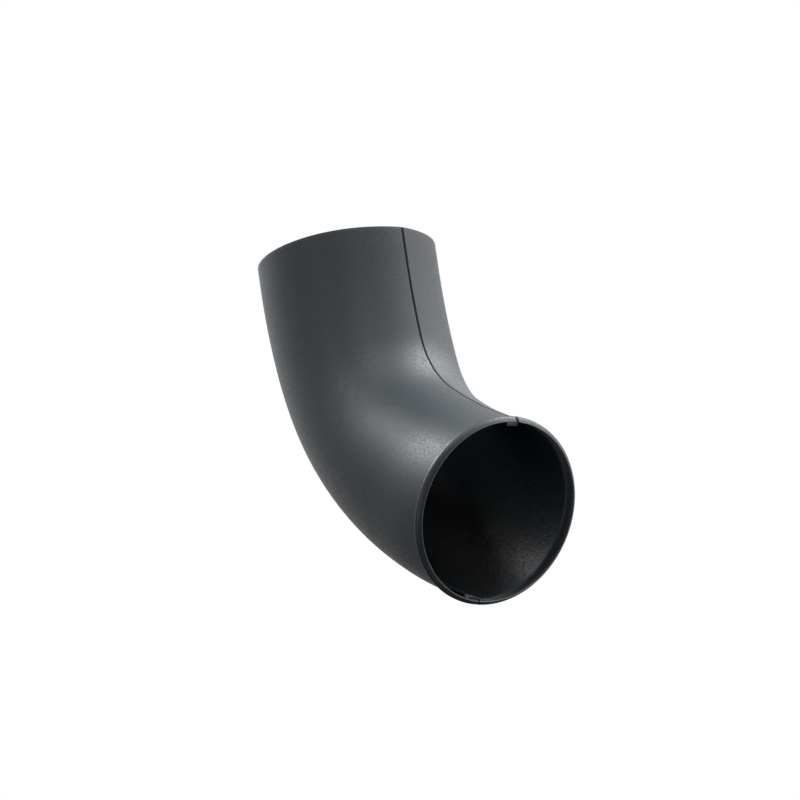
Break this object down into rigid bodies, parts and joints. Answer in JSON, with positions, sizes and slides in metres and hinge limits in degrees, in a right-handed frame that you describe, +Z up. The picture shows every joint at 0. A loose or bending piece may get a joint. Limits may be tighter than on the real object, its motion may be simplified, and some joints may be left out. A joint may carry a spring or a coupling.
{
  "type": "downpipe shoe",
  "caption": "Round sheet-steel outlet elbow for the foot of a downpipe: two lock-seamed half shells with a plain top end and a beaded mouth.",
  "frame": {"origin": "centre of the top opening, on the upper leg's axis", "axes": "+Z up along the upper leg, towards the downpipe; +X towards the mouth; the bend's plane is XZ, with the near half shell on -Y"},
  "size_m": [0.1527, 0.0952, 0.1984],
  "materials": {
    "painted_sheet": "dark anthracite polyester coating, satin with a fine grain"
  },
  "bodies": {
    "root": {"near_half_shell": "painted_sheet", "far_half_shell": "painted_sheet"}
  },
  "joints": []
}
